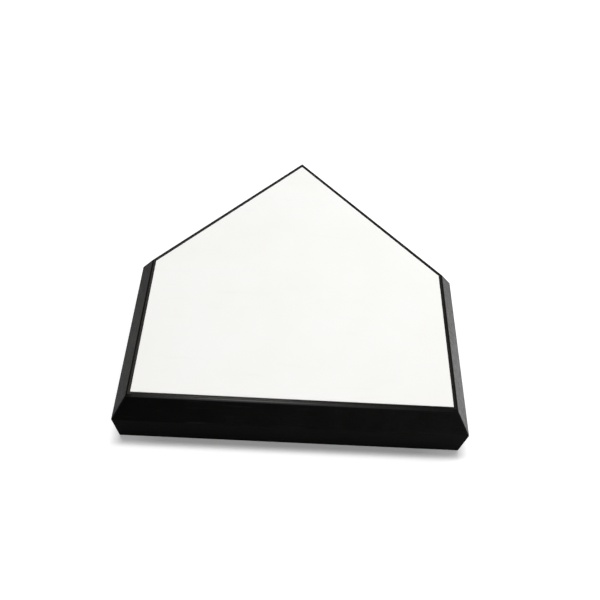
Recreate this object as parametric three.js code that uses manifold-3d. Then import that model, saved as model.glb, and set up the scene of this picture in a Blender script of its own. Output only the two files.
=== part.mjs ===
// Baseball home plate of the buried kind. A five-sided white rubber top is held in a black bevelled
// rubber rim, over a core of glued and screwed plywood boards. Millimetres, +Z up. The front edge faces
// -Y, the point faces +Y, and the origin is on the underside, at the middle of the plate's box.

import * as THREE from 'three';
import { mergeVertices } from 'three/addons/utils/BufferGeometryUtils.js';
import Module from 'manifold-3d';

const wasm = await Module();
wasm.setup();

// Plan of the white face, which is the regulation plate
const PLATE_WIDTH = 431.8; // front edge, 17 in
const SIDE_LENGTH = 215.9; // each edge square to the front, 8.5 in
const PLATE_DEPTH = 431.8; // front edge to the point, 17 in

// White top
const TOP_THICKNESS = 18;
const TOP_EDGE_RADIUS = 0.8;
const TONGUE_REACH = 6; // how far the top's stepped edge runs out under the lip

// Black rim
const LIP_WIDTH = 4.8; // white face to the line where lip and bevel would meet if sharp
const LIP_DEPTH = 9; // rubber over the tongue
const BEVEL_RUN = 22.2;
const BEVEL_DROP = 34;
const WALL_THICKNESS = 12.7;
const FLANGE_REACH = 28; // flange turned in under the core, measured from the inside of the wall
const FLANGE_THICKNESS = 8;
const LIP_EDGE_RADIUS = 0.6;
const SHOULDER_RADIUS = 5; // between lip and bevel
const NOSE_RADIUS = 3; // between bevel and wall
const FOOT_RADIUS = 1.5; // between wall and underside

// Plywood core
const BOARD_THICKNESS = 18.25;
const BOARD_NAMES = ['bottom_board', 'second_board', 'third_board', 'top_board'];

// Countersunk screws that clamp the boards, driven from below
const CORE_SCREW_INSET = 75; // in from the edges of the white face
const CORE_SCREW_DIAMETER = 5.5;
const CORE_SCREW_HEAD_DIAMETER = 10.5;
const CORE_SCREW_HEAD_EDGE = 0.6; // straight edge of the head under its cone
const CORE_SCREW_COVER = 8; // wood left over the point

// Round-headed screws that hold the rim's flange, each in a counterbore
const RIM_SCREW_PITCH = 108;
const RIM_SCREW_DIAMETER = 4.8;
const RIM_SCREW_LENGTH = 32; // under the head
const RIM_SCREW_HEAD_DIAMETER = 11;
const RIM_SCREW_HEAD_HEIGHT = 2.8;
const RIM_SCREW_HEAD_EDGE = 0.8; // straight edge of the head over its dome
const COUNTERBORE_DIAMETER = 14;

// Shared by both kinds of screw
const HEAD_SINK = 0.5; // how far each head lies inside the underside
const POINT_LENGTH = 7;
const DRIVE_WIDTH = 3; // square drive
const DRIVE_DEPTH = 2;

// Gap kept between pieces that seat on each other, which is also the glue line between boards
const CLEARANCE = 0.3;

// Facets of a quarter-round edge, and of a full turn
const EDGE_STEPS = 4;
const TURN_STEPS = 12;

// Heights, stacked up from the underside
const layerHeight = BOARD_THICKNESS + CLEARANCE;
const topFloor = BOARD_NAMES.length * layerHeight;
const plateHeight = topFloor + TOP_THICKNESS;
const lipFloor = plateHeight - LIP_DEPTH;
const ledgeHeight = (BOARD_NAMES.length - 1) * layerHeight;
const rimScrewSeat = HEAD_SINK + RIM_SCREW_HEAD_HEIGHT + CLEARANCE;

// Reaches, measured outwards from the edge of the white face
const rimReach = LIP_WIDTH + BEVEL_RUN;
const wallInside = rimReach - WALL_THICKNESS;
const flangeInside = wallInside - FLANGE_REACH;
const coreReach = wallInside - CLEARANCE;

// Direction that points out of the plan along an edge, with the corners taken anticlockwise
function outwardNormal(start, end) {
  const along = end.clone().sub(start).normalize();
  return new THREE.Vector2(along.y, -along.x);
}

// Corners of the plan with its edges moved outwards by a reach, anticlockwise from the front left
function planCorners(reach) {
  const halfWidth = PLATE_WIDTH / 2;
  const corners = [
    new THREE.Vector2(-halfWidth, 0),
    new THREE.Vector2(halfWidth, 0),
    new THREE.Vector2(halfWidth, SIDE_LENGTH),
    new THREE.Vector2(0, PLATE_DEPTH),
    new THREE.Vector2(-halfWidth, SIDE_LENGTH),
  ];
  return corners.map((corner, i) => {
    const before = outwardNormal(corners.at(i - 1), corner);
    const after = outwardNormal(corner, corners[(i + 1) % corners.length]);
    const mitre = reach / (1 + before.dot(after));
    return before.add(after).multiplyScalar(mitre).add(corner);
  });
}

// Profile of reach and height, with a short arc at each corner that has a radius
function roundedProfile(corners) {
  const points = corners.map(([reach, height]) => new THREE.Vector2(reach, height));
  return points.flatMap((corner, i) => {
    const radius = corners[i][2];
    if (!radius) return [corner];
    const back = points.at(i - 1).clone().sub(corner);
    const ahead = points[(i + 1) % points.length].clone().sub(corner);
    const room = Math.min(back.length(), ahead.length()) / 2;
    back.normalize();
    ahead.normalize();
    const halfAngle = Math.acos(back.dot(ahead)) / 2;
    const tangent = Math.min(radius / Math.tan(halfAngle), room);
    const arcRadius = tangent * Math.tan(halfAngle);
    const toCentre = back.clone().add(ahead).normalize();
    const centre = toCentre.multiplyScalar(arcRadius / Math.sin(halfAngle)).add(corner);
    const start = back.multiplyScalar(tangent).add(corner).sub(centre);
    const end = ahead.multiplyScalar(tangent).add(corner).sub(centre);
    const turn = Math.atan2(start.cross(end), start.dot(end));
    return Array.from({ length: EDGE_STEPS + 1 }, (_, step) =>
      start.clone().rotateAround(new THREE.Vector2(), (turn * step) / EDGE_STEPS).add(centre));
  });
}

// Solid whose edge follows a profile round the plan, with mitred corners.
// A ring closes its profile on itself, and a slab is capped at the profile's two ends.
function sweepRoundPlan(profile, isRing) {
  const rings = profile.map((point) => planCorners(point.x).map((corner) => [corner.x, corner.y, point.y]));
  const sides = rings[0].length;
  const triangles = [];
  const bands = isRing ? rings.length : rings.length - 1;
  for (let band = 0; band < bands; band++) {
    const low = band * sides;
    const high = ((band + 1) % rings.length) * sides;
    for (let side = 0; side < sides; side++) {
      const next = (side + 1) % sides;
      triangles.push(low + side, low + next, high + next);
      triangles.push(low + side, high + next, high + side);
    }
  }
  if (!isRing) {
    const last = (rings.length - 1) * sides;
    for (let side = 1; side < sides - 1; side++) {
      triangles.push(0, side + 1, side);
      triangles.push(last, last + side, last + side + 1);
    }
  }
  const geometry = new THREE.BufferGeometry();
  geometry.setAttribute('position', new THREE.Float32BufferAttribute(rings.flat(2), 3));
  geometry.setIndex(triangles);
  return geometry;
}

const slab = (corners) => sweepRoundPlan(roundedProfile(corners), false);
const ring = (corners) => sweepRoundPlan(roundedProfile(corners), true);

// Turned solid about +Z, from a half profile of radius and height that starts and ends on the axis
function turned(halfProfile) {
  const points = halfProfile.map(([radius, height]) => new THREE.Vector2(radius, height));
  return new THREE.LatheGeometry(points, TURN_STEPS).rotateX(Math.PI / 2);
}

function toSolid(geometry) {
  const bare = geometry.clone();
  bare.deleteAttribute('normal');
  bare.deleteAttribute('uv');
  const merged = mergeVertices(bare);
  const vertProperties = new Float32Array(merged.attributes.position.array);
  const triVerts = new Uint32Array(merged.index.array);
  return new wasm.Manifold(new wasm.Mesh({ numProp: 3, vertProperties, triVerts }));
}

function toGeometry(solid) {
  const { vertProperties, triVerts } = solid.getMesh();
  const geometry = new THREE.BufferGeometry();
  geometry.setAttribute('position', new THREE.BufferAttribute(vertProperties, 3));
  geometry.setIndex(new THREE.BufferAttribute(triVerts, 1));
  geometry.computeVertexNormals();
  return geometry;
}

// One geometry with others cut out of it
function cut(geometry, cutters) {
  const solids = cutters.map(toSolid);
  return toGeometry(solids.reduce((rest, cutter) => rest.subtract(cutter), toSolid(geometry)));
}

const movedTo = (geometry, place) => geometry.clone().translate(place.x, place.y, 0);

// Where the screws stand
function coreScrewPlaces() {
  const corners = planCorners(-CORE_SCREW_INSET);
  const frontMiddle = corners[0].clone().add(corners[1]).divideScalar(2);
  const sum = corners.reduce((total, corner) => total.add(corner), new THREE.Vector2());
  return [...corners, frontMiddle, sum.divideScalar(corners.length)];
}

function rimScrewPlaces() {
  const corners = planCorners((wallInside + flangeInside) / 2);
  return corners.flatMap((corner, i) => {
    const next = corners[(i + 1) % corners.length];
    const count = Math.max(1, Math.round(corner.distanceTo(next) / RIM_SCREW_PITCH));
    return Array.from({ length: count }, (_, k) => corner.clone().lerp(next, (k + 0.5) / count));
  });
}

// Half profile of a core screw, or of the hole for it when there is spare room round the screw
function coreScrewProfile(face, spare) {
  const head = CORE_SCREW_HEAD_DIAMETER / 2 + spare;
  const shank = CORE_SCREW_DIAMETER / 2 + spare;
  const coneStart = HEAD_SINK + CORE_SCREW_HEAD_EDGE;
  const point = topFloor - CLEARANCE - CORE_SCREW_COVER;
  return [
    [0, face],
    [head, face],
    [head, coneStart],
    [shank, coneStart + head - shank],
    [shank, point - POINT_LENGTH],
    [0, point + spare],
  ];
}

function rimScrewProfile() {
  const head = RIM_SCREW_HEAD_DIAMETER / 2;
  const shank = RIM_SCREW_DIAMETER / 2;
  const headTop = rimScrewSeat - CLEARANCE;
  const point = headTop + RIM_SCREW_LENGTH;
  const domeHeight = RIM_SCREW_HEAD_HEIGHT - RIM_SCREW_HEAD_EDGE;
  const dome = Array.from({ length: EDGE_STEPS }, (_, step) => {
    const angle = ((step + 1) / EDGE_STEPS) * (Math.PI / 2);
    return [head * Math.sin(angle), HEAD_SINK + domeHeight * (1 - Math.cos(angle))];
  });
  return [
    [0, HEAD_SINK],
    ...dome,
    [head, headTop],
    [shank, headTop],
    [shank, point - POINT_LENGTH],
    [0, point],
  ];
}

// The counterbore for a rim screw's head, and the hole for its shank
function rimHoleProfile() {
  const bore = COUNTERBORE_DIAMETER / 2;
  const hole = RIM_SCREW_DIAMETER / 2 + CLEARANCE;
  const point = rimScrewSeat - CLEARANCE + RIM_SCREW_LENGTH;
  return [
    [0, -CLEARANCE],
    [bore, -CLEARANCE],
    [bore, rimScrewSeat],
    [hole, rimScrewSeat],
    [hole, point - POINT_LENGTH],
    [0, point + CLEARANCE],
  ];
}

// A screw with its square drive sunk into the middle of its head
function screw(halfProfile) {
  const drive = new THREE.BoxGeometry(DRIVE_WIDTH, DRIVE_WIDTH, 2 * DRIVE_DEPTH).translate(0, 0, HEAD_SINK);
  return cut(turned(halfProfile), [drive]);
}

// The white top, with its tongue. Its rounded edge ends on a line a little way in on the face.
function whiteTop() {
  const tongueTop = lipFloor - CLEARANCE;
  const faceLine = -2 * TOP_EDGE_RADIUS;
  return slab([
    [TONGUE_REACH, topFloor],
    [TONGUE_REACH, tongueTop],
    [0, tongueTop],
    [0, plateHeight, TOP_EDGE_RADIUS],
    [faceLine, plateHeight],
  ]);
}

// The rim's section, from the flange's inner edge out along the underside, up the outside and down the inside
function bevelRim(screwHoles) {
  const lipInside = CLEARANCE;
  const pocketInside = TONGUE_REACH + CLEARANCE;
  const section = ring([
    [flangeInside, 0],
    [rimReach, 0, FOOT_RADIUS],
    [rimReach, plateHeight - BEVEL_DROP, NOSE_RADIUS],
    [LIP_WIDTH, plateHeight, SHOULDER_RADIUS],
    [lipInside, plateHeight, LIP_EDGE_RADIUS],
    [lipInside, lipFloor],
    [pocketInside, lipFloor],
    [pocketInside, ledgeHeight],
    [wallInside, ledgeHeight],
    [wallInside, FLANGE_THICKNESS],
    [flangeInside, FLANGE_THICKNESS],
  ]);
  return cut(section, screwHoles);
}

// One board of the core. The bottom one is rebated for the flange, and the top one fits under the bevel.
function coreBoard(layer, screwHoles) {
  const floor = layer * layerHeight;
  const ceiling = floor + BOARD_THICKNESS;
  const isBottom = layer === 0;
  const isTop = layer === BOARD_NAMES.length - 1;
  const reach = isTop ? TONGUE_REACH : coreReach;
  const rebateReach = flangeInside - CLEARANCE;
  const rebateHeight = FLANGE_THICKNESS + CLEARANCE;
  const rebate = isBottom ? [[rebateReach, floor], [rebateReach, rebateHeight]] : [];
  const edge = [[reach, isBottom ? rebateHeight : floor], [reach, ceiling]];
  return cut(slab([...rebate, ...edge]), screwHoles);
}

const rubberWhite = { color: 0xf4f4f1, roughness: 0.6, metalness: 0 };
const rubberBlack = { color: 0x1a1918, roughness: 0.5, metalness: 0 };
const plywood = { color: 0xc39a68, roughness: 0.75, metalness: 0 };
const zincSteel = { color: 0xa9adb0, roughness: 0.4, metalness: 1 };

const homePlate = new THREE.Group();

function addPiece(name, geometry, finish, place = new THREE.Vector2()) {
  const piece = new THREE.Mesh(geometry, new THREE.MeshStandardMaterial(finish));
  piece.name = name;
  piece.position.set(place.x, place.y, 0);
  homePlate.add(piece);
}

const corePlaces = coreScrewPlaces();
const rimPlaces = rimScrewPlaces();
const coreHole = turned(coreScrewProfile(-CLEARANCE, CLEARANCE));
const rimHole = turned(rimHoleProfile());
const coreHoles = corePlaces.map((place) => movedTo(coreHole, place));
const rimHoles = rimPlaces.map((place) => movedTo(rimHole, place));

addPiece('white_top', whiteTop(), rubberWhite);
addPiece('bevel_rim', bevelRim(rimHoles), rubberBlack);
BOARD_NAMES.forEach((name, layer) => addPiece(name, coreBoard(layer, [...coreHoles, ...rimHoles]), plywood));

const coreScrew = screw(coreScrewProfile(HEAD_SINK, 0));
const rimScrew = screw(rimScrewProfile());
corePlaces.forEach((place, i) => addPiece(`core_screw_${i + 1}`, coreScrew, zincSteel, place));
rimPlaces.forEach((place, i) => addPiece(`rim_screw_${i + 1}`, rimScrew, zincSteel, place));

// The middle of the plate's box goes over the origin
const outerCorners = planCorners(rimReach);
const front = Math.min(...outerCorners.map((corner) => corner.y));
const back = Math.max(...outerCorners.map((corner) => corner.y));
homePlate.position.y = -(front + back) / 2;

export default homePlate;
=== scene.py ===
# %% [markdown]
# # A baseball home plate
#
# A home plate that is buried flush with the ground is a thick block with five sides. A white rubber top
# is framed by a black rubber rim, which has a narrow lip, a steep bevel and an upright wall. Underneath,
# the rim turns in over a plywood core, and screws hold both.
#
# The construction arrives as a fixed frame, in metres, with +Z up and the front edge facing -Y. This
# script dresses that frame: it rebuilds the pieces that show with fine edges, paints every piece, and
# sets up the floor, the lamps and the camera.

# %% Load the frame
import math

import bmesh
import bpy
from mathutils import Matrix, Vector


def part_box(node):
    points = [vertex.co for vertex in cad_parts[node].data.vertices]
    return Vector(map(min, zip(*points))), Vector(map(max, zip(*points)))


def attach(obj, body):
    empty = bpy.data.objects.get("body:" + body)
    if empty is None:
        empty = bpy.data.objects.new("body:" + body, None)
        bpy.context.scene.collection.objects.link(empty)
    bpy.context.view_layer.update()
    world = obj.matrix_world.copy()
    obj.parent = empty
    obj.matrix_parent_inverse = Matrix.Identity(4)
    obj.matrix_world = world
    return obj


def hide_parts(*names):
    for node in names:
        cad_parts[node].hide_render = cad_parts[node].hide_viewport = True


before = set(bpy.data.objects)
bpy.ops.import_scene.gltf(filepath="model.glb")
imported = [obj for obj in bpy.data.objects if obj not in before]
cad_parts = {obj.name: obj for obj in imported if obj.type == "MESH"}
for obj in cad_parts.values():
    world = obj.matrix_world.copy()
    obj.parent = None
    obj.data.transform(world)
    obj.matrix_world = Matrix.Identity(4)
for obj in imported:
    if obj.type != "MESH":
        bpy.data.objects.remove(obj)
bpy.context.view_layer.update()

# %% [markdown]
# ## Sizes
#
# The plan of the white face is the regulation plate, so it is written down once. Heights and places come
# from the frame, so that the dressed pieces sit exactly where the solids are. A reach is a distance out
# from the edge of the white face, square to that edge.

# %% Sizes, in metres
MM = 0.001
FACE_WIDTH = 431.8 * MM
FACE_SIDE = 215.9 * MM
FACE_DEPTH = 431.8 * MM
LIP_WIDTH = 4.8 * MM
LIP_DEPTH = 9 * MM
TONGUE_REACH = 6 * MM
BEVEL_RUN = 22.2 * MM
BEVEL_DROP = 34 * MM
WALL_THICKNESS = 12.7 * MM
FLANGE_REACH = 28 * MM
FLANGE_THICKNESS = 8 * MM
SEAT_GAP = 0.3 * MM

rim_low, rim_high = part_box("bevel_rim")
half_width = FACE_WIDTH / 2
rim_reach = LIP_WIDTH + BEVEL_RUN
wall_inside = rim_reach - WALL_THICKNESS
flange_inside = wall_inside - FLANGE_REACH
plate_height = rim_high.z
nose_height = plate_height - BEVEL_DROP
lip_floor = plate_height - LIP_DEPTH
top_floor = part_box("white_top")[0].z
ledge_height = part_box("top_board")[0].z
face_front = rim_low.y + rim_reach
print("plate height", round(plate_height, 4), "front edge of the white face at y", round(face_front, 4))

# %% [markdown]
# ## Camera
#
# The five corners of the white face have a known shape, so the photograph's camera can be worked out from
# them. The camera is placed by its position, the point it looks at, a small roll and its lens, which are
# easier to read and adjust than a matrix.

# %% Camera
CAMERA_PLACE = Vector((-16.8, -551.3, 838.6)) * MM
CAMERA_TARGET = Vector((4.5, -63.2, 92.2)) * MM
CAMERA_ROLL = math.radians(5.06)
CAMERA_SENSOR = 36.0
CAMERA_LENS = 36.3


def add_object(name, data):
    """A new object at the origin, in the scene."""
    made = bpy.data.objects.new(name, data)
    bpy.context.scene.collection.objects.link(made)
    return made


def aimed(place, target, roll=0.0):
    """Where an object goes that stands at a place and looks at a target along its own -Z."""
    turn = (target - place).to_track_quat("-Z", "Y").to_matrix().to_4x4()
    return Matrix.Translation(place) @ turn @ Matrix.Rotation(roll, 4, "Z")


lens = bpy.data.cameras.new("camera")
lens.sensor_width = CAMERA_SENSOR
lens.lens = CAMERA_LENS
camera = add_object("camera", lens)
camera.matrix_world = aimed(CAMERA_PLACE, CAMERA_TARGET, CAMERA_ROLL)
bpy.context.scene.camera = camera
bpy.context.scene.view_settings.view_transform = "Standard"
print("camera at", [round(x, 3) for x in CAMERA_PLACE], "with a lens of", CAMERA_LENS, "mm")

# %% [markdown]
# ## Node trees written as sums
#
# The finishes and the shapes below are node trees. A small class wraps one output socket, and ordinary
# sums on it add the Math or Vector Math nodes, so a formula reads as a formula. Any other node comes from
# its `node` method, which sets the node's settings first, and then its sockets' values or links.


# %% A wire in a node tree
class Wire:
    """One output socket of a node tree. Sums on it add the nodes that work them out."""

    def __init__(self, tree, socket=None):
        self.tree = tree
        self.socket = socket

    def node(self, kind, settings=None, sockets=None, out=0):
        """Adds a node of a kind, and gives one of its outputs."""
        made = self.tree.nodes.new(kind)
        for name, value in (settings or {}).items():
            setattr(made, name, value)
        for name, value in (sockets or {}).items():
            if isinstance(value, Wire):
                self.tree.links.new(value.socket, made.inputs[name])
            else:
                made.inputs[name].default_value = value
        return Wire(self.tree, made.outputs[out] if made.outputs else None)

    def output(self, name):
        """Another output of the same node."""
        return Wire(self.tree, self.socket.node.outputs[name])

    def sum(self, operation, first, second=0.0):
        """A Math node, or a Vector Math node where a value is a vector."""
        wires = [value for value in (first, second) if isinstance(value, Wire)]
        if any(wire.socket.type == "VECTOR" for wire in wires):
            values = [(v, v, v) if isinstance(v, (int, float)) else v for v in (first, second)]
            return self.node("ShaderNodeVectorMath", {"operation": operation}, dict(enumerate(values)))
        return self.node("ShaderNodeMath", {"operation": operation}, {0: first, 1: second})

    def __add__(self, other):
        return self.sum("ADD", self, other)

    def __sub__(self, other):
        return self.sum("SUBTRACT", self, other)

    def __mul__(self, other):
        return self.sum("MULTIPLY", self, other)

    def __truediv__(self, other):
        return self.sum("DIVIDE", self, other)

    def __floordiv__(self, other):
        return self.sum("FLOOR", self / other)

    def __mod__(self, other):
        return self.sum("MODULO", self, other)

    def __gt__(self, other):
        return self.sum("GREATER_THAN", self, other)

    def __lt__(self, other):
        return self.sum("LESS_THAN", self, other)

    def __radd__(self, other):
        return self.sum("ADD", other, self)

    def __rsub__(self, other):
        return self.sum("SUBTRACT", other, self)

    def __rmul__(self, other):
        return self.sum("MULTIPLY", other, self)

    def __rtruediv__(self, other):
        return self.sum("DIVIDE", other, self)


print("wires are ready")

# %% [markdown]
# ## Helpers for finishes
#
# A finish here is a Principled shader, or two of them mixed on the black rubber. Moulded rubber, wood and
# plated steel all differ from a flat colour in the same three ways: the colour drifts a little, the gloss
# drifts with it, and the surface is never quite even. Photographs of real surfaces could give that too,
# but noise needs no files and never repeats. So a finish is built from noise of a stated size in metres.
# The number beside a noise says how far it moves a colour, a roughness or a height in millimetres.

# %% Helpers for finishes
# The Mix node has sockets for colours and for numbers under the same names, so they go by their place.
MIX_FACTOR = 0
MIX_FIRST_COLOUR = 6
MIX_SECOND_COLOUR = 7
MIX_RESULT_COLOUR = 2


def new_finish(name):
    """An empty material, and a wire to start its nodes from."""
    material = bpy.data.materials.new(name)
    material.use_nodes = True
    material.node_tree.nodes.clear()
    return material, Wire(material.node_tree)


def object_place(paint, stretch=(1.0, 1.0, 1.0)):
    """Object coordinates in metres, squeezed along an axis where stretch is over 1."""
    place = paint.node("ShaderNodeTexCoord", out="Object")
    return paint.node("ShaderNodeMapping", {}, {"Vector": place, "Scale": stretch})


def cloud(place, size, detail=3.0, roughness=0.5):
    """Soft noise around a half, with blobs of about a size in metres."""
    sockets = {"Vector": place, "Scale": 1 / size, "Detail": detail, "Roughness": roughness}
    return place.node("ShaderNodeTexNoise", {}, sockets)


def spread(value, low, high):
    """A value from low to high becomes 0 to 1, and stays between them."""
    sockets = {"Value": value, "From Min": low, "From Max": high}
    return value.node("ShaderNodeMapRange", {"clamp": True}, sockets)


def between(first, second, share):
    """A number that goes from the first to the second as a share goes from 0 to 1."""
    return first + (second - first) * share


def absolute(value):
    """A number without its sign."""
    return value.sum("ABSOLUTE", value)


def blended(share, first, second):
    """A colour between two others, each of which is three numbers or a wire."""
    sockets = {MIX_FACTOR: share}
    for name, colour in ((MIX_FIRST_COLOUR, first), (MIX_SECOND_COLOUR, second)):
        sockets[name] = (*colour, 1.0) if isinstance(colour, tuple) else colour
    return share.node("ShaderNodeMix", {"data_type": "RGBA"}, sockets, MIX_RESULT_COLOUR)


def bumped(height):
    """Normals of a surface with a height in millimetres."""
    return height.node("ShaderNodeBump", {}, {"Height": height, "Distance": MM})


def surface(colour, roughness, normal, **others):
    """A Principled shader. A socket whose name has a space is given with _ instead."""
    sockets = {"Base Color": colour, "Roughness": roughness, "Normal": normal}
    for name, value in others.items():
        sockets[name.replace("_", " ")] = value
    return colour.node("ShaderNodeBsdfPrincipled", {}, sockets)


def finished(material, shader):
    """Joins a shader to the material's output."""
    shader.node("ShaderNodeOutputMaterial", {}, {"Surface": shader})
    print("finish", material.name, "has", len(material.node_tree.nodes), "nodes")
    return material


print("helpers for finishes are ready")

# %% [markdown]
# ## White rubber
#
# The top is matt white rubber with a fine moulded grain. Handling leaves it very slightly uneven: broad
# patches are a touch greyer, and a few faint scuffs run across. One flat white would do from far away, but
# the face is most of what shows of the plate. The patches and scuffs stay within a few percent of white,
# because the face of a new plate is almost clean.

# %% White rubber
GREYER_WHITE = (0.886, 0.883, 0.856)
CLEAN_WHITE = (0.904, 0.902, 0.882)
SCUFFED_WHITE = (0.83, 0.83, 0.82)
WHITE_SCUFFING = 0.2
WHITE_ROUGHNESS = 0.5
WHITE_GLOSS = 1.4
WHITE_GRAIN = 0.06


def white_rubber():
    """Matt white rubber with faint patches and scuffs."""
    material, paint = new_finish("white_rubber")
    place = object_place(paint)
    patches = cloud(place, size=90 * MM, detail=2.0)
    grain = cloud(place, size=0.9 * MM, detail=2.0)
    brushed = cloud(object_place(paint, stretch=(1.0, 9.0, 1.0)), size=60 * MM, detail=6.0)
    scuffs = spread(brushed, low=0.62, high=0.74)
    clean = blended(spread(patches, low=0.35, high=0.65), GREYER_WHITE, CLEAN_WHITE)
    colour = blended(scuffs * WHITE_SCUFFING, clean, SCUFFED_WHITE)
    roughness = WHITE_ROUGHNESS + patches * 0.14 + scuffs * 0.08
    return finished(material, surface(colour, roughness, bumped(grain * WHITE_GRAIN), IOR=WHITE_GLOSS))


white_finish = white_rubber()

# %% [markdown]
# ## Black rubber
#
# The rim is moulded black rubber, nearly as dark as soot. Its bevel left the mould with a satin skin, which
# mirrors the pale floor where it is looked at along its surface. That skin is best kept on the right half,
# thinner on the left half and towards the back, and almost gone from the front, where shoes scrape it matt.
# They have rubbed the front shoulder shiny instead, most of all left of the middle. Knocks leave pale
# scuffs, mostly along the nose, which is the edge between the bevel and the wall; along the nose they are
# also a painted highlight on that edge. Dust stays on the flat lip; on the front it stays only along the
# rubbed stretch, where its pale colour is also a painted highlight. The worn grey grows towards the right,
# partly as painted light from that side.
#
# All of that depends on where a point lies on the rim, so the masks below are worked out from its
# distances out from the white face and down from it. The skin is a second shader, smoother than the matt
# rubber and with more gloss, and a mask mixes the two. One shader with an index of refraction that varies
# would be shorter, but an export can't bake that. The rubbed shine is a clear coat on the matt shader.

# %% Where a point lies on the rim
# Depths below the lip, and distances above and below the nose.
LIP_DUST_DEPTH = 0.4 * MM
SHOULDER_DEPTH = 2.3 * MM
SATIN_START = 0.5 * MM
SATIN_FADE = 1.6 * MM
NOSE_FADE = 3 * MM
NOSE_ROUND = 0.9 * MM
NOSE_WEAR_AND_HIGHLIGHT = 2.4 * MM
# Fades across the mitre of the front and a side.
MITRE_SOFT = 2.5 * MM
MITRE_FADE = 10 * MM
# The rubbed stretch of the front shoulder: its middle, distances from there, and the share lost past it.
RUBBED_MIDDLE = -45 * MM
RUBBED_INSIDE = 60 * MM
RUBBED_OUTSIDE = 240 * MM
RUBBED_LOSS = 0.85
# Where the wear towards the back starts along the plate, and where it is full.
BACK_START = -150 * MM
BACK_FULL = 0.0


def rim_masks(place):
    """Masks by name: the lip with its dust and, on the front, painted highlight, the bevel, the nose with
    its scuffs and painted highlight, the rubbed shoulder, and then the sides other than the front, the right
    half, the back, and how far to the right a point lies."""
    axes = place.node("ShaderNodeSeparateXYZ", {}, {0: place})
    across, along = axes.output("X"), axes.output("Y")
    depth = plate_height - axes.output("Z")
    front_reach = face_front - along
    side_reach = absolute(across) - half_width
    past_mitre = side_reach - front_reach
    on_front = 1 - spread(past_mitre, -MITRE_FADE, 0.0)
    on_side = spread(past_mitre, -MITRE_SOFT, MITRE_SOFT)

    below_lip = spread(depth, 0.0, LIP_DUST_DEPTH)
    on_shoulder = below_lip * (1 - spread(depth, SHOULDER_DEPTH, SHOULDER_DEPTH + LIP_DUST_DEPTH))
    satin_begun = spread(depth, SATIN_START, SATIN_START + SATIN_FADE)
    front_ended = spread(depth, BEVEL_DROP - NOSE_ROUND, BEVEL_DROP + NOSE_ROUND)
    side_ended = spread(depth, BEVEL_DROP - NOSE_FADE, BEVEL_DROP)
    satin_ended = between(front_ended, side_ended, on_side)

    from_nose = absolute(depth - BEVEL_DROP)
    from_middle = absolute(across - RUBBED_MIDDLE)
    rubbed = 1 - RUBBED_LOSS * spread(from_middle, RUBBED_INSIDE, RUBBED_OUTSIDE)
    return {
        # On the front the lip's dust is kept only along the rubbed stretch, where it paints a highlight.
        "lip_dust_and_highlight": (1 - below_lip) * (1 - on_front * (1 - rubbed)),
        "bevel": satin_begun * (1 - satin_ended),
        "nose": 1 - spread(from_nose, NOSE_ROUND, NOSE_WEAR_AND_HIGHLIGHT),
        "shoulder": on_shoulder * on_front * rubbed,
        "side": on_side,
        "right": across > 0.0,
        "back": spread(along, BACK_START, BACK_FULL),
        "rightward": spread(across, -half_width, half_width),
    }


print("the satin skin lies from", SATIN_START, "to", BEVEL_DROP, "m below the lip")

# %% Black rubber
# A gloss is an index of refraction.
MATT_GLOSS = 1.02
MATT_ROUGHNESS = 0.29
SATIN_GLOSS = 1.25
SATIN_SMOOTHER = 0.13
COAT_ROUGHNESS = 0.2
CLEAN_RUBBER = (0.0026, 0.0025, 0.0024)
WORN_RUBBER = (0.0165, 0.0160, 0.0155)
SCUFF_AND_NOSE_HIGHLIGHT = (0.0110, 0.0104, 0.0098)
RIGHT_LIP_DUST_AND_HIGHLIGHT = (0.0190, 0.0184, 0.0172)
LEFT_LIP_DUST_AND_HIGHLIGHT = (0.0350, 0.0330, 0.0300)
BEVEL_DUST = (0.0110, 0.0086, 0.0068)
# Shares of the satin skin that are left, and the share that is worn off at the back.
LEFT_SKIN = 0.23
RIGHT_SKIN = 0.87
FRONT_LEFT_SKIN = 0.03
FRONT_RIGHT_SKIN = 0.12
BACK_WEAR = 0.42
# Shares of grey wear and of scuffs. Grey wear grows towards the right, partly as painted light from the
# right.
LEAST_GREY = 0.08
PATCH_GREY = 0.3
LEFT_WEAR_AND_PAINTED_SHADE = 0.4
RIGHT_WEAR_AND_PAINTED_LIGHT = 1.6
SCUFFING = 0.45
# Along the nose the pale scuffs are also a painted highlight on that edge.
NOSE_SCUFFS_AND_HIGHLIGHT = 0.95
NOSE_SCUFF_AND_HIGHLIGHT_COVER = 0.07


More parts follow.
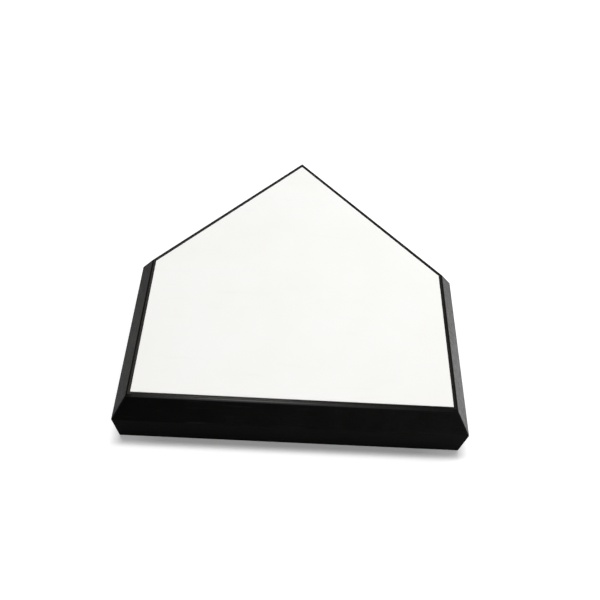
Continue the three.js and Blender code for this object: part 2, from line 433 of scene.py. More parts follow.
def black_rubber():
    """Matt black rubber under what is left of a satin skin."""
    material, paint = new_finish("black_rubber")
    place = object_place(paint)
    masks = rim_masks(place)
    patches = spread(cloud(place, size=38 * MM, detail=8.0, roughness=0.66), low=0.3, high=0.7)
    streaks = cloud(object_place(paint, stretch=(1.0, 1.0, 9.0)), size=24 * MM, detail=5.0, roughness=0.6)
    scratches = cloud(object_place(paint, stretch=(1.0, 1.0, 24.0)), size=50 * MM, detail=5.0)
    scuffs = spread(scratches + masks["nose"] * NOSE_SCUFF_AND_HIGHLIGHT_COVER, low=0.60, high=0.70)
    mottle = cloud(place, size=6 * MM, detail=5.0, roughness=0.6)
    speckle = cloud(place, size=2.5 * MM, detail=3.0, roughness=0.65)
    grain = cloud(place, size=1.0 * MM, detail=2.0)

    # The colour: worn grey in patches, more to the right as painted light, dusty on bevel and lip, scuffed.
    wear_and_painted_light = between(LEFT_WEAR_AND_PAINTED_SHADE, RIGHT_WEAR_AND_PAINTED_LIGHT, masks["rightward"])
    worn_grey_and_painted_light = (LEAST_GREY + PATCH_GREY * patches * speckle) * wear_and_painted_light
    rubber = blended(worn_grey_and_painted_light, CLEAN_RUBBER, WORN_RUBBER)
    dusted = blended(masks["bevel"] * masks["side"] * mottle, rubber, BEVEL_DUST)
    # Scuffs, which along the nose also paint a highlight on that edge.
    scuffed_and_nose_highlight = blended(scuffs * between(SCUFFING, NOSE_SCUFFS_AND_HIGHLIGHT, masks["nose"]), dusted, SCUFF_AND_NOSE_HIGHLIGHT)
    # The lip's pale dust, which on the front also stands for a painted highlight.
    lip_dust_and_highlight = blended(masks["right"], LEFT_LIP_DUST_AND_HIGHLIGHT, RIGHT_LIP_DUST_AND_HIGHLIGHT)
    colour = blended(masks["lip_dust_and_highlight"] * (0.5 + speckle), scuffed_and_nose_highlight, lip_dust_and_highlight)

    # The matt rubber with its rubbed coat, and the satin skin.
    roughness = MATT_ROUGHNESS + patches * 0.06 + speckle * 0.08 + masks["lip_dust_and_highlight"] * 0.15
    normal = bumped(mottle * 0.1 + speckle * 0.06 + grain * 0.05)
    coat = {"Coat_Weight": masks["shoulder"] * (0.2 + speckle), "Coat_Roughness": COAT_ROUGHNESS}
    matt = surface(colour, roughness, normal, IOR=MATT_GLOSS, **coat)
    satin = surface(colour, roughness - SATIN_SMOOTHER, normal, IOR=SATIN_GLOSS)

    # How much of the skin is left.
    side_skin = between(LEFT_SKIN, RIGHT_SKIN, masks["right"])
    front_skin = between(FRONT_LEFT_SKIN, FRONT_RIGHT_SKIN, masks["rightward"])
    evenness = 1.0
    for noise, drift in ((patches, 0.2), (streaks, 0.5), (mottle, 1.2), (speckle, 0.8)):
        evenness = evenness + (noise - 0.5) * drift
    kept = between(front_skin, side_skin, masks["side"]) * evenness
    skin = masks["bevel"] * kept * (1 - BACK_WEAR * masks["back"])
    return finished(material, paint.node("ShaderNodeMixShader", {}, {0: skin, 1: matt, 2: satin}))


black_finish = black_rubber()

# %% [markdown]
# ## Plywood
#
# The core shows only underneath. Rotary-cut plywood has long streaks that run along the sheet, wavy where
# the knife crossed the growth rings, with short dark pores. Its edge shows the plies as bands of light and
# dark. Noise that is squeezed across the grain makes the streaks and the pores. The bands depend on height
# alone, so they stay even on a flat face and show on every cut edge.

# %% Plywood
PLY = 2.6 * MM
DARK_WOOD = (0.40, 0.235, 0.105)
LIGHT_WOOD = (0.60, 0.405, 0.215)
CROSS_PLY = (0.27, 0.15, 0.07)
PORE = (0.20, 0.11, 0.05)
WOOD_ROUGHNESS = 0.62


def plywood():
    """Plywood with its grain along X and its plies one above the other."""
    material, paint = new_finish("plywood")
    place = object_place(paint, stretch=(1.0, 14.0, 14.0))
    wander = cloud(object_place(paint, stretch=(1.0, 3.0, 3.0)), size=160 * MM, detail=2.0)
    streaks = cloud(place + wander * 0.9, size=120 * MM, detail=6.0, roughness=0.6)
    specks = cloud(object_place(paint, stretch=(1.0, 22.0, 22.0)), size=14 * MM, detail=2.0)
    pores = spread(specks, low=0.62, high=0.72)
    height = paint.node("ShaderNodeSeparateXYZ", {}, {0: object_place(paint)}, "Z")
    ply = spread(height.sum("PINGPONG", height, PLY) / PLY, low=0.42, high=0.58)
    wood = blended(spread(streaks, low=0.3, high=0.7), DARK_WOOD, LIGHT_WOOD)
    banded = blended(ply * 0.45, wood, CROSS_PLY)
    colour = blended(pores * 0.6, banded, PORE)
    roughness = WOOD_ROUGHNESS + streaks * 0.16
    return finished(material, surface(colour, roughness, bumped(streaks * 0.12 - pores * 0.07)))


wood_finish = plywood()

# %% [markdown]
# ## Zinc-plated steel
#
# The screws are plated with zinc, which is bright, a little blue, and cloudy where the bath left it dull.
# A metal shows mostly what it mirrors, so the clouds change its roughness as well as its colour.

# %% Zinc-plated steel
DULL_ZINC = (0.50, 0.51, 0.53)
BRIGHT_ZINC = (0.68, 0.69, 0.70)
ZINC_ROUGHNESS = 0.26


def zinc_steel():
    """Cloudy zinc plating."""
    material, paint = new_finish("zinc_steel")
    place = object_place(paint)
    clouds = cloud(place, size=3.0 * MM, detail=4.0)
    grain = cloud(place, size=0.35 * MM, detail=2.0)
    colour = blended(spread(clouds, low=0.3, high=0.7), DULL_ZINC, BRIGHT_ZINC)
    roughness = ZINC_ROUGHNESS + clouds * 0.3
    return finished(material, surface(colour, roughness, bumped(grain * 0.01), Metallic=1.0))


zinc_finish = zinc_steel()

# %% [markdown]
# ## A tree that sweeps a section round the plan
#
# The rim, the white top and the bottom board are all one section carried round the same five corners. A
# curve with a profile could do that, but it leaves less say over the corners. So a tree of Geometry Nodes
# does it: the section is the modifier's own mesh, the plan is another object, and the tree works out where
# each point of the section goes at each corner.
#
# A point of the section holds three numbers: its reach out from the plan, the radius of its corners, and
# its height. At a corner the reach follows the mitre of the two edges, and a small arc rounds it. One
# spare step is held back on each side of the arc, so that flat sides stay flat when shading is smooth.

# %% Helpers for shapes
SHARP_ANGLE = math.radians(32)


def new_tree(name, inputs):
    """A Geometry Nodes tree with named inputs after its geometry, and a wire to start from."""
    tree = bpy.data.node_groups.new(name, "GeometryNodeTree")
    tree.interface.new_socket("Geometry", in_out="INPUT", socket_type="NodeSocketGeometry")
    for label, kind in inputs.items():
        tree.interface.new_socket(label, in_out="INPUT", socket_type=kind)
    tree.interface.new_socket("Geometry", in_out="OUTPUT", socket_type="NodeSocketGeometry")
    return tree, Wire(tree).node("NodeGroupInput")


def close_tree(shape, material):
    """Every tree ends in plain geometry with its material."""
    real = shape.node("GeometryNodeRealizeInstances", {}, {"Geometry": shape})
    painted = real.node("GeometryNodeSetMaterial", {}, {"Geometry": real, "Material": material})
    painted.node("NodeGroupOutput", {}, {"Geometry": painted})


def grown(name, points, tree, values):
    """A plain mesh object that a tree grows from a mesh of bare points."""
    mesh = bpy.data.meshes.new(name)
    mesh.from_pydata(points, [], [])
    made = add_object(name, mesh)
    modifier = made.modifiers.new(tree.name, "NODES")
    modifier.node_group = tree
    for item in tree.interface.items_tree:
        if item.in_out == "INPUT" and item.name in values:
            modifier[item.identifier] = values[item.name]
    return made_plain(made)


def drop_empty_slots(mesh):
    """Takes out the empty material slots that some nodes add, or a drilled hole would have no finish."""
    for index in reversed(range(len(mesh.materials))):
        if mesh.materials[index] is None:
            mesh.materials.pop(index=index)


def made_plain(made):
    """Turns an object's modifiers into its mesh, with faces outwards and smooth up to a sharp edge."""
    bpy.context.view_layer.update()
    evaluated = made.evaluated_get(bpy.context.evaluated_depsgraph_get())
    mesh = bpy.data.meshes.new_from_object(evaluated)
    drop_empty_slots(mesh)
    made.modifiers.clear()
    made.data = mesh
    mesh.name = made.name
    work = bmesh.new()
    work.from_mesh(mesh)
    bmesh.ops.recalc_face_normals(work, faces=work.faces)
    work.to_mesh(mesh)
    work.free()
    mesh.shade_smooth()
    mesh.set_sharp_from_angle(angle=SHARP_ANGLE)
    return made


print("an edge is sharp past", round(math.degrees(SHARP_ANGLE)), "degrees")

# %% The sweep tree
MERGE_DISTANCE = 0.005 * MM


def sweep_tree():
    """Carries a section round a plan, as a closed ring, or as a slab with a flat top and bottom."""
    tree, start = new_tree("sweep_round_plan", {
        "Plan": "NodeSocketObject",
        "Corner Steps": "NodeSocketInt",
        "Hold": "NodeSocketFloat",
        "Ring": "NodeSocketBool",
        "Material": "NodeSocketMaterial",
    })
    section = start.output("Geometry")
    steps = start.output("Corner Steps")
    hold = start.output("Hold")
    plan = start.node("GeometryNodeObjectInfo", {}, {"Object": start.output("Plan")}, "Geometry")
    position = start.node("GeometryNodeInputPosition")

    def count(mesh):
        return start.node("GeometryNodeAttributeDomainSize", {}, {"Geometry": mesh}, "Point Count")

    def sample(mesh, index):
        sockets = {"Geometry": mesh, "Value": position, "Index": index}
        return start.node("GeometryNodeSampleIndex", {"data_type": "FLOAT_VECTOR"}, sockets)

    def unit(vector):
        return vector.sum("NORMALIZE", vector)

    corners = count(plan)
    points = count(section)

    def spot(turn, point):
        """Where a point of the section goes at a step of the way round the plan."""
        corner = turn // steps
        step = turn % steps
        here = sample(plan, corner)
        arriving = unit(here - sample(plan, (corner + corners - 1) % corners))
        leaving = unit(sample(plan, (corner + 1) % corners) - here)
        before = arriving.sum("CROSS_PRODUCT", arriving, (0.0, 0.0, 1.0))
        after = leaving.sum("CROSS_PRODUCT", leaving, (0.0, 0.0, 1.0))
        outward = {0: before, 1: after}
        dot = before.node("ShaderNodeVectorMath", {"operation": "DOT_PRODUCT"}, outward, "Value")
        mitre = (before + after) / (1 + dot)
        # The first and the last step are the spare ones, and the arc runs over those between them.
        is_first = step < 0.5
        is_last = step > steps - 1.5
        share = spread(step, 1.0, steps - 2)
        out = unit(before * (1 - share) + after * share)
        slide = leaving * (hold * is_last) - arriving * (hold * is_first)
        numbers = start.node("ShaderNodeSeparateXYZ", {}, {0: sample(section, point)})
        reach, radius, height = (numbers.output(axis) for axis in "XYZ")
        level = start.node("ShaderNodeCombineXYZ", {}, {"Z": height})
        return here + mitre * (reach - radius) + out * radius + slide + level

    def placed(mesh, where):
        return start.node("GeometryNodeSetPosition", {}, {"Geometry": mesh, "Position": where})

    def either(ring, slab):
        """One geometry for a ring, and another for a slab."""
        sockets = {"Switch": start.output("Ring"), "True": ring, "False": slab}
        return start.node("GeometryNodeSwitch", {"input_type": "GEOMETRY"}, sockets)

    index = start.node("GeometryNodeInputIndex")
    rail = start.node("GeometryNodeCurvePrimitiveCircle", {}, {"Resolution": corners * steps})
    loop = start.node("GeometryNodeCurvePrimitiveCircle", {}, {"Resolution": points})
    line = start.node("GeometryNodeCurvePrimitiveLine")
    row = start.node("GeometryNodeResampleCurve", {}, {"Curve": line, "Count": points})
    skin = start.node("GeometryNodeCurveToMesh", {}, {"Curve": rail, "Profile Curve": either(loop, row)})
    side = placed(skin, spot(index // points, index % points))
    disc = start.node("GeometryNodeMeshCircle", {"fill_type": "NGON"}, {"Vertices": corners * steps})
    capped = start.node("GeometryNodeJoinGeometry", {}, {"Geometry": side})
    for cap in (placed(disc, spot(index, 0)), placed(disc, spot(index, points - 1))):
        tree.links.new(cap.socket, capped.socket.node.inputs["Geometry"])
    sockets = {"Geometry": either(side, capped), "Distance": MERGE_DISTANCE}
    merged = start.node("GeometryNodeMergeByDistance", {}, sockets)
    close_tree(merged, start.output("Material"))
    return tree


sweep = sweep_tree()
print("the sweep tree has", len(sweep.nodes), "nodes")

# %% [markdown]
# ## Plan and sections
#
# The plan is five points. A section is written as a short list of corners, each with a reach, a height
# and, where the real edge is rounded, a radius. Arcs are worked out here, with the same spare point on
# each side of an arc that the corners of the plan have. A Bevel modifier could round the edges too, but
# this way each edge has a radius of its own.

# %% Plan and sections
CORNER_STEPS = 9
HOLD = 0.4 * MM
ARC_STEPS = 8
CORNER_RADIUS = 0.8 * MM
LITRES_IN_CUBIC_METRE = 1000

plan_points = [
    (-half_width, face_front, 0),
    (half_width, face_front, 0),
    (half_width, face_front + FACE_SIDE, 0),
    (0, face_front + FACE_DEPTH, 0),
    (-half_width, face_front + FACE_SIDE, 0),
]
plan_mesh = bpy.data.meshes.new("plan")
plan_mesh.from_pydata(plan_points, [], [])
plan_object = add_object("plan", plan_mesh)


def rounded(corners):
    """Points of a section, with an arc at each corner that has a radius."""
    spots = [Vector(corner[:2]) for corner in corners]
    points = []
    for i, corner in enumerate(corners):
        radius = corner[2] if len(corner) > 2 else 0
        if not radius:
            points.append(spots[i])
            continue
        back = (spots[i - 1] - spots[i]).normalized()
        ahead = (spots[(i + 1) % len(spots)] - spots[i]).normalized()
        half_angle = back.angle(ahead) / 2
        tangent = radius / math.tan(half_angle)
        centre = spots[i] + (back + ahead).normalized() * radius / math.sin(half_angle)
        start = spots[i] + back * tangent - centre
        turn = start.angle_signed(spots[i] + ahead * tangent - centre)
        points.append(spots[i] + back * (tangent + HOLD))
        for step in range(ARC_STEPS + 1):
            points.append(centre + Matrix.Rotation(-turn * step / ARC_STEPS, 2) @ start)
        points.append(spots[i] + ahead * (tangent + HOLD))
    return points


def swept(name, corners, is_ring, material):
    """A piece whose edge follows a section round the plan."""
    points = []
    for reach, height in rounded(corners):
        points.append((reach, CORNER_RADIUS, height))
    return grown(name, points, sweep, {
        "Plan": plan_object,
        "Corner Steps": CORNER_STEPS,
        "Hold": HOLD,
        "Ring": is_ring,
        "Material": material,
    })


def tell(piece):
    """Prints a piece's faces, its open edges and its volume."""
    work = bmesh.new()
    work.from_mesh(piece.data)
    open_edges = sum(1 for edge in work.edges if not edge.is_manifold)
    litres = work.calc_volume(signed=True) * LITRES_IN_CUBIC_METRE
    work.free()
    faces = len(piece.data.polygons)
    print(piece.name, faces, "faces,", open_edges, "open edges,", round(litres, 4), "litres")


print("the plan has", len(plan_points), "corners")

# %% [markdown]
# ## White top
#
# The top is a slab with a stepped edge: the step runs out under the rim's lip and keeps the top from
# lifting. The edge of the white face is only just broken, so that the black line round it stays crisp. An
# outline could be extruded for it, but the sweep tree keeps its corners in line with the rim's. A slab's
# section starts and ends a little way in from its edge, and flat caps close it there.

# %% White top
TOP_EDGE_RADIUS = 0.5 * MM
HIDDEN_EDGE_RADIUS = 0.5 * MM

tongue_top = lip_floor - SEAT_GAP
white_top = swept("white_top_face", [
    (TONGUE_REACH - 2 * HIDDEN_EDGE_RADIUS, top_floor),
    (TONGUE_REACH, top_floor, HIDDEN_EDGE_RADIUS),
    (TONGUE_REACH, tongue_top, HIDDEN_EDGE_RADIUS),
    (0, tongue_top),
    (0, plate_height, TOP_EDGE_RADIUS),
    (-3 * TOP_EDGE_RADIUS, plate_height),
], False, white_finish)
tell(white_top)

# %% [markdown]
# ## Bevelled rim
#
# The rim is one moulding, so it is one closed section carried all the way round. The section starts at the
# flange's inner edge. It goes out along the underside, up the wall to the nose, up the bevel to the rounded
# shoulder, across the lip, and down the inside past the pocket for the white top's step and the ledge that
# sits on the core.

# %% Bevelled rim
LIP_EDGE_RADIUS = 0.6 * MM
SHOULDER_RADIUS = 5 * MM
NOSE_RADIUS = 3 * MM
FOOT_RADIUS = 1.5 * MM

pocket_inside = TONGUE_REACH + SEAT_GAP
rim = swept("rubber_rim", [
    (flange_inside, 0, FOOT_RADIUS),
    (rim_reach, 0, FOOT_RADIUS),
    (rim_reach, nose_height, NOSE_RADIUS),
    (LIP_WIDTH, plate_height, SHOULDER_RADIUS),
    (SEAT_GAP, plate_height, LIP_EDGE_RADIUS),
    (SEAT_GAP, lip_floor, HIDDEN_EDGE_RADIUS),
    (pocket_inside, lip_floor),
    (pocket_inside, ledge_height, HIDDEN_EDGE_RADIUS),
    (wall_inside, ledge_height),
    (wall_inside, FLANGE_THICKNESS),
    (flange_inside, FLANGE_THICKNESS, HIDDEN_EDGE_RADIUS),
], True, black_finish)
tell(rim)

# %% [markdown]
# ## Bottom board
#
# The lowest board of the core is the only one that shows, inside the rim's flange. Its edge is rebated for
# the flange, and its corners are just sanded. It is a slab like the white top, so the same tree makes it.

# %% Bottom board
core_reach = wall_inside - SEAT_GAP
rebate_reach = flange_inside - SEAT_GAP
rebate_height = FLANGE_THICKNESS + SEAT_GAP
board_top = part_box("bottom_board")[1].z
bottom_board = swept("plywood_underside", [
    (rebate_reach - 2 * HIDDEN_EDGE_RADIUS, 0),
    (rebate_reach, 0, HIDDEN_EDGE_RADIUS),
    (rebate_reach, rebate_height),
    (core_reach, rebate_height, HIDDEN_EDGE_RADIUS),
    (core_reach, board_top, HIDDEN_EDGE_RADIUS),
    (core_reach - 2 * HIDDEN_EDGE_RADIUS, board_top),
], False, wood_finish)
tell(bottom_board)

# %% [markdown]
# ## Turned shapes and threads
#
# A screw is a turned shape with a helical thread. The Screw modifier turns a profile, but it can't thin a
# thread to a point. So shank and thread are one stack of rings: the radius of a ring may change with the
# angle, and a ridge that moves round by one turn in each pitch makes the thread. The same stack without a
# thread makes the drills that cut the screw holes.

# %% Turned shapes
RING_SIDES = 32
THREAD_STEPS = 8
THREAD_DEPTH = 0.75 * MM
RIDGE_SHARPNESS = 3.2
POINT_LENGTH = 7 * MM


def turned(name, rings):
    """A closed mesh from a stack of rings. Each ring has a height and a radius for each of its sides."""
    work = bmesh.new()
    loops = []
    for height, radii in rings:
        loop = []
        for side, radius in enumerate(radii):
            angle = math.tau * side / RING_SIDES
            loop.append(work.verts.new((radius * math.cos(angle), radius * math.sin(angle), height)))
        loops.append(loop)
    for low, high in zip(loops, loops[1:]):
        for side in range(RING_SIDES):
            after = (side + 1) % RING_SIDES
            work.faces.new((low[side], low[after], high[after], high[side]))
    work.faces.new(reversed(loops[0]))
    work.faces.new(loops[-1])
    mesh = bpy.data.meshes.new(name)
    work.to_mesh(mesh)
    work.free()
    return add_object(name, mesh)


def plain_rings(profile):
    """Rings that are round, from a list of radius and height."""
    return [(height, [radius] * RING_SIDES) for radius, height in profile]


def thread_rings(shank, start, end, pitch):
    """Rings of a threaded shank that thins to a point."""
    count = round((end - start) / pitch * THREAD_STEPS)
    rings = []
    for i in range(count):
        height = start + (end - start) * i / count
        taper = min(1, (end - height) / POINT_LENGTH)
        radii = []
        for side in range(RING_SIDES):
            phase = (height / pitch - side / RING_SIDES) % 1
            ridge = max(0, 1 - abs(phase - 0.5) * RIDGE_SHARPNESS)
            radii.append((shank - THREAD_DEPTH * (1 - ridge)) * taper)
        rings.append((height, radii))
    return rings


print("turned shapes have", RING_SIDES, "sides")

# %% [markdown]
# ## Places of the screws
#
# The frame already holds each screw, so the middle of each one's box is its place. A second tree puts a
# shape on each place, with a random turn from a fixed seed, because screws stop at any angle.


# %% Places of the screws
def screw_nodes(kind):
    """Names of the frame's screws of a kind."""
    return sorted(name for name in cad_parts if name.startswith(kind))


def screw_places(kind):
    """Where the screws of a kind stand, on the plane of the underside."""
    boxes = [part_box(name) for name in screw_nodes(kind)]
    return [((low.x + high.x) / 2, (low.y + high.y) / 2, 0) for low, high in boxes]


def place_tree():
    """Puts a shape on each point of a mesh, turned at random up to an angle."""
    tree, start = new_tree("shape_on_places", {
        "Shape": "NodeSocketObject",
        "Turn": "NodeSocketFloat",
        "Seed": "NodeSocketInt",
        "Material": "NodeSocketMaterial",
    })
    shape = start.node("GeometryNodeObjectInfo", {}, {"Object": start.output("Shape")}, "Geometry")
    most = start.node("ShaderNodeCombineXYZ", {}, {"Z": start.output("Turn")})
    chance = {0: (0.0, 0.0, 0.0), 1: most, "Seed": start.output("Seed")}
    angle = start.node("FunctionNodeRandomValue", {"data_type": "FLOAT_VECTOR"}, chance)
    turn = start.node("FunctionNodeEulerToRotation", {}, {"Euler": angle})
    sockets = {"Points": start.output("Geometry"), "Instance": shape, "Rotation": turn}
    close_tree(start.node("GeometryNodeInstanceOnPoints", {}, sockets), start.output("Material"))
    return tree


on_places = place_tree()
core_places = screw_places("core_screw")
rim_places = screw_places("rim_screw")
print(len(core_places), "core screws and", len(rim_places), "rim screws")

# %% [markdown]
# ## Screw holes
#
# The rim's flange has a counterbore for each round head. The bottom board has a countersink for each flat
# one, and a plain hole for the shank of each round-headed screw. A drill is turned once, put on every place
# by the tree, and cut out with one Boolean, which is quicker than a cut for each hole.

# %% Screw holes
CORE_SHANK = 2.75 * MM
CORE_HEAD = 5.25 * MM
CORE_HEAD_EDGE = 0.6 * MM
RIM_SHANK = 2.4 * MM
RIM_SCREW_LENGTH = 32 * MM
COUNTERBORE = 7 * MM
BORE_EDGE = 0.4 * MM
DRILL_OVERRUN = 1 * MM

head_face, core_point = (corner.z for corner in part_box("core_screw_1"))
rim_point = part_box("rim_screw_1")[1].z
rim_head_top = rim_point - RIM_SCREW_LENGTH
rim_seat = rim_head_top + SEAT_GAP
cone_start = head_face + CORE_HEAD_EDGE
cone_end = cone_start + CORE_HEAD - CORE_SHANK


def drilled(piece, places, drill):
    """Cuts a drill out of a piece at each place."""
    cutter = grown("cutter", places, on_places, {"Shape": drill, "Turn": 0.0, "Seed": 0})
    boolean = piece.modifiers.new("holes", "BOOLEAN")
    boolean.operation = "DIFFERENCE"
    boolean.solver = "EXACT"
    boolean.object = cutter
    made_plain(piece)
    for spent in (cutter, drill):
        bpy.data.objects.remove(spent)
    tell(piece)


drilled(rim, rim_places, turned("counterbore_drill", plain_rings([
    (COUNTERBORE + BORE_EDGE + DRILL_OVERRUN, -DRILL_OVERRUN),
    (COUNTERBORE, BORE_EDGE),
    (COUNTERBORE, rim_seat),
    (RIM_SHANK + SEAT_GAP, rim_seat),
    (RIM_SHANK + SEAT_GAP, FLANGE_THICKNESS + DRILL_OVERRUN),
])))
drilled(bottom_board, core_places, turned("countersink_drill", plain_rings([
    (CORE_HEAD + SEAT_GAP, -DRILL_OVERRUN),
    (CORE_HEAD + SEAT_GAP, cone_start),
    (CORE_SHANK + SEAT_GAP, cone_end),
    (CORE_SHANK + SEAT_GAP, board_top + DRILL_OVERRUN),
])))
drilled(bottom_board, rim_places, turned("pilot_drill", plain_rings([
    (RIM_SHANK + SEAT_GAP, rebate_height - DRILL_OVERRUN),
    (RIM_SHANK + SEAT_GAP, board_top + DRILL_OVERRUN),
])))

# %% [markdown]
# ## Screws
#
# Flat-headed screws clamp the boards, and round-headed ones hold the flange. Each has a square drive, which
# is cut with a slightly tapered punch, and a coarse wood thread that ends in a point. One screw of a kind is
# made, and the tree puts a copy on each place.

# %% Screws
SCREW_SEED = 11
RIM_HEAD = 5.5 * MM
RIM_HEAD_EDGE = 0.8 * MM
DRIVE_WIDTH = 3 * MM
DRIVE_DEPTH = 2 * MM
DRIVE_TAPER = 0.9
CORE_PITCH = 2.6 * MM
RIM_PITCH = 2.2 * MM
PLAIN_TURNS = 2
THREAD_START_TURNS = 3
TIP = 0.15 * MM
DOME_STEPS = 8
HEAD_BREAK = 0.2 * MM


def punched(piece):
    """Cuts the square drive into a screw's head."""
    work = bmesh.new()
    bmesh.ops.create_cube(work, size=1.0)
    for vertex in work.verts:
        deep = vertex.co.z > 0
        width = DRIVE_WIDTH * (DRIVE_TAPER if deep else 1)
        level = head_face + (DRIVE_DEPTH if deep else -DRIVE_DEPTH)
        vertex.co = Vector((vertex.co.x * width, vertex.co.y * width, level))
    mesh = bpy.data.meshes.new("punch")
    work.to_mesh(mesh)
    work.free()
    punch = add_object("punch", mesh)
    boolean = piece.modifiers.new("drive", "BOOLEAN")
    boolean.solver = "EXACT"
    boolean.object = punch
    made_plain(piece)
    bpy.data.objects.remove(punch)
    return piece


def all_screws(name, places, screw):
    """One piece that holds every screw of a kind."""
    values = {"Shape": punched(screw), "Turn": math.tau, "Seed": SCREW_SEED, "Material": zinc_finish}
    piece = grown(name, places, on_places, values)
    bpy.data.objects.remove(screw)
    tell(piece)
    return piece


core_rings = plain_rings([
    (CORE_HEAD - HEAD_BREAK, head_face),
    (CORE_HEAD, head_face + HEAD_BREAK),
    (CORE_HEAD, cone_start),
    (CORE_SHANK, cone_end),
    (CORE_SHANK, cone_end + PLAIN_TURNS * CORE_PITCH),
])
core_thread = cone_end + THREAD_START_TURNS * CORE_PITCH
core_rings += thread_rings(CORE_SHANK, core_thread, core_point, CORE_PITCH)
core_rings += plain_rings([(TIP, core_point)])
core_screws = all_screws("flat_head_screws", core_places, turned("flat_head_screw", core_rings))

dome_height = rim_head_top - head_face - RIM_HEAD_EDGE
dome = []
for step in range(1, DOME_STEPS + 1):
    angle = math.pi / 2 * step / DOME_STEPS
    dome.append((RIM_HEAD * math.sin(angle), head_face + dome_height * (1 - math.cos(angle))))
rim_rings = plain_rings([
    *dome,
    (RIM_HEAD, rim_head_top - HEAD_BREAK),
    (RIM_HEAD - HEAD_BREAK, rim_head_top),
    (RIM_SHANK, rim_head_top),
    (RIM_SHANK, rim_head_top + PLAIN_TURNS * RIM_PITCH),
])
rim_thread = rim_head_top + THREAD_START_TURNS * RIM_PITCH
rim_rings += thread_rings(RIM_SHANK, rim_thread, rim_point, RIM_PITCH)
rim_rings += plain_rings([(TIP, rim_point)])
rim_screws = all_screws("round_head_screws", rim_places, turned("round_head_screw", rim_rings))
bpy.data.objects.remove(plan_object)

# %% [markdown]
# ## Pieces and the frame
#
# Nothing on a home plate moves, so every piece rides on the one body. Each new piece says which solids it
# stands for. The three boards inside keep their own solids, with the plywood finish.

# %% Pieces and the frame
INNER_BOARDS = ["second_board", "third_board", "top_board"]


def dressed(piece, slot, *nodes):
    """Puts a piece on the body, in place of the solids that it stands for."""
    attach(piece, "root")
    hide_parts(*nodes)


dressed(white_top, "white_rubber", "white_top")
dressed(rim, "black_rubber", "bevel_rim")
dressed(bottom_board, "plywood", "bottom_board")
dressed(core_screws, "zinc_steel", *screw_nodes("core_screw"))
dressed(rim_screws, "zinc_steel", *screw_nodes("rim_screw"))
for name in INNER_BOARDS:
    for material_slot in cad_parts[name].material_slots:
        material_slot.material = wood_finish
print("five new pieces, and", len(INNER_BOARDS), "boards that stay as they are")

# %% [markdown]
# ## Floor
#
# The plate lies on a pale studio floor. The floor is white for the camera, and for reflections of it, by a
# little light of its own. That light is weak just in front of the plate, where the plate keeps the main
# lamp off the floor, so the shadow there stays, a little paler at its two ends. Far away, where the lamps
# no longer reach, it is strong enough to be white by itself, so a low view shows no grey horizon.

# %% Floor
FLOOR_SIZE = 8.0
FLOOR_DROP = 0.2 * MM
FLOOR_COLOUR = (0.94, 0.94, 0.94, 1.0)
FLOOR_GLOW = 0.28
SHADOW_GLOW = 0.08
SHADOW_LENGTH = 5 * MM
SHADOW_FADE = 12 * MM
SIDE_FADE = 16 * MM
PALE_END_START = 60 * MM
PALE_END_STOP = 15 * MM
PALE_END = 0.4
FAR_START = 0.7
FAR_END = 1.8


def seen_directly(paint):
    """1 for rays from the camera, and for mirror-like and see-through rays, and 0 for the rest."""
    path = paint.node("ShaderNodeLightPath")
    seen = path.output("Is Camera Ray")
    for kind in ("Is Glossy Ray", "Is Transmission Ray"):
        seen = seen + path.output(kind)
    return seen.sum("MINIMUM", seen, 1.0)


def length(vector):
    """How long a vector is."""
    return vector.node("ShaderNodeVectorMath", {"operation": "LENGTH"}, {0: vector}, "Value")


def floor_glow(paint):
    """The floor's own light: weak in front of the plate, and strong far away."""
    place = object_place(paint)
    axes = paint.node("ShaderNodeSeparateXYZ", {}, {0: place})
    across, along = axes.output("X"), axes.output("Y")
    ahead = rim_low.y - along
    beside = absolute(across) - rim_high.x
    in_front = 1 - spread(absolute(ahead), SHADOW_LENGTH, SHADOW_LENGTH + SHADOW_FADE)
    pale_ends = PALE_END * spread(beside, -PALE_END_START, -PALE_END_STOP)
    within = (1 - pale_ends) * (1 - spread(beside, 0.0, SIDE_FADE))
    far = spread(length(place), FAR_START, FAR_END)
    shadow = in_front * within * (FLOOR_GLOW - SHADOW_GLOW)
    return FLOOR_GLOW - shadow + far * (1 - FLOOR_GLOW)


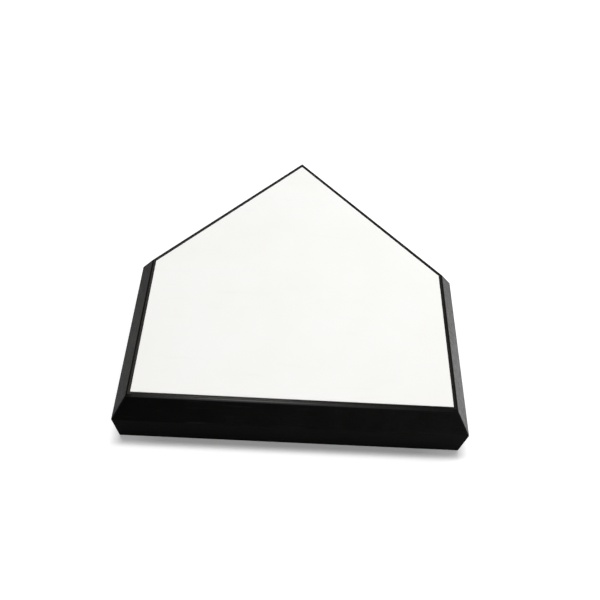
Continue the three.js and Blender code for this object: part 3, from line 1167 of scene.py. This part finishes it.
def floor_paint():
    """A matt floor with a light of its own."""
    material, paint = new_finish("floor")
    plain = paint.node("ShaderNodeBsdfDiffuse", {}, {"Color": FLOOR_COLOUR})
    glow = paint.node("ShaderNodeEmission", {}, {"Strength": seen_directly(paint) * floor_glow(paint)})
    both = paint.node("ShaderNodeAddShader", {}, {0: plain, 1: glow})
    paint.node("ShaderNodeOutputMaterial", {}, {"Surface": both})
    return material


half_floor = FLOOR_SIZE / 2
floor_corners = []
for x, y in ((-1, -1), (1, -1), (1, 1), (-1, 1)):
    floor_corners.append((x * half_floor, y * half_floor, -FLOOR_DROP))
floor_mesh = bpy.data.meshes.new("floor")
floor_mesh.from_pydata(floor_corners, [], [(0, 1, 2, 3)])
floor_mesh.materials.append(floor_paint())
floor = add_object("floor", floor_mesh)
print("floor of", FLOOR_SIZE, "m")

# %% [markdown]
# ## Light
#
# The plate's shadow falls just in front of it, with a soft edge, so the main lamp hangs high and a little
# behind it. A large soft lamp on the right makes the white face a little brighter on that side, a tall one
# in front shines along the rubbed shoulder, and a wide fill keeps the shadow pale.


# %% Light
def add_lamp(name, azimuth, height, distance, width, depth, power):
    """A soft lamp that shines at the origin. Azimuth 0 is behind the plate, and 90 on its right."""
    turn, lift = math.radians(azimuth), math.radians(height)
    place = Vector((math.sin(turn) * math.cos(lift), math.cos(turn) * math.cos(lift), math.sin(lift)))
    data = bpy.data.lights.new(name, "AREA")
    data.shape = "RECTANGLE"
    data.size = width
    data.size_y = depth
    data.energy = power
    lamp = add_object(name, data)
    lamp.matrix_world = aimed(place * distance, Vector((0, 0, 0)))


add_lamp("key", azimuth=-18, height=82, distance=3.0, width=1.2, depth=0.42, power=51.5)
add_lamp("side", azimuth=60, height=55, distance=1.2, width=0.8, depth=0.8, power=3.0)
add_lamp("front", azimuth=186, height=48, distance=2.4, width=0.5, depth=1.2, power=6.0)

WORLD_FILL = 0.2
WHITE = (1.0, 1.0, 1.0, 1.0)
world = bpy.data.worlds.new("studio")
bpy.context.scene.world = world
world.use_nodes = True
world.node_tree.nodes.clear()
sky = Wire(world.node_tree)
strength = WORLD_FILL + seen_directly(sky) * (1 - WORLD_FILL)
fill = sky.node("ShaderNodeBackground", {}, {"Color": WHITE, "Strength": strength})
sky.node("ShaderNodeOutputWorld", {}, {"Surface": fill})
print("three lamps and a soft fill")
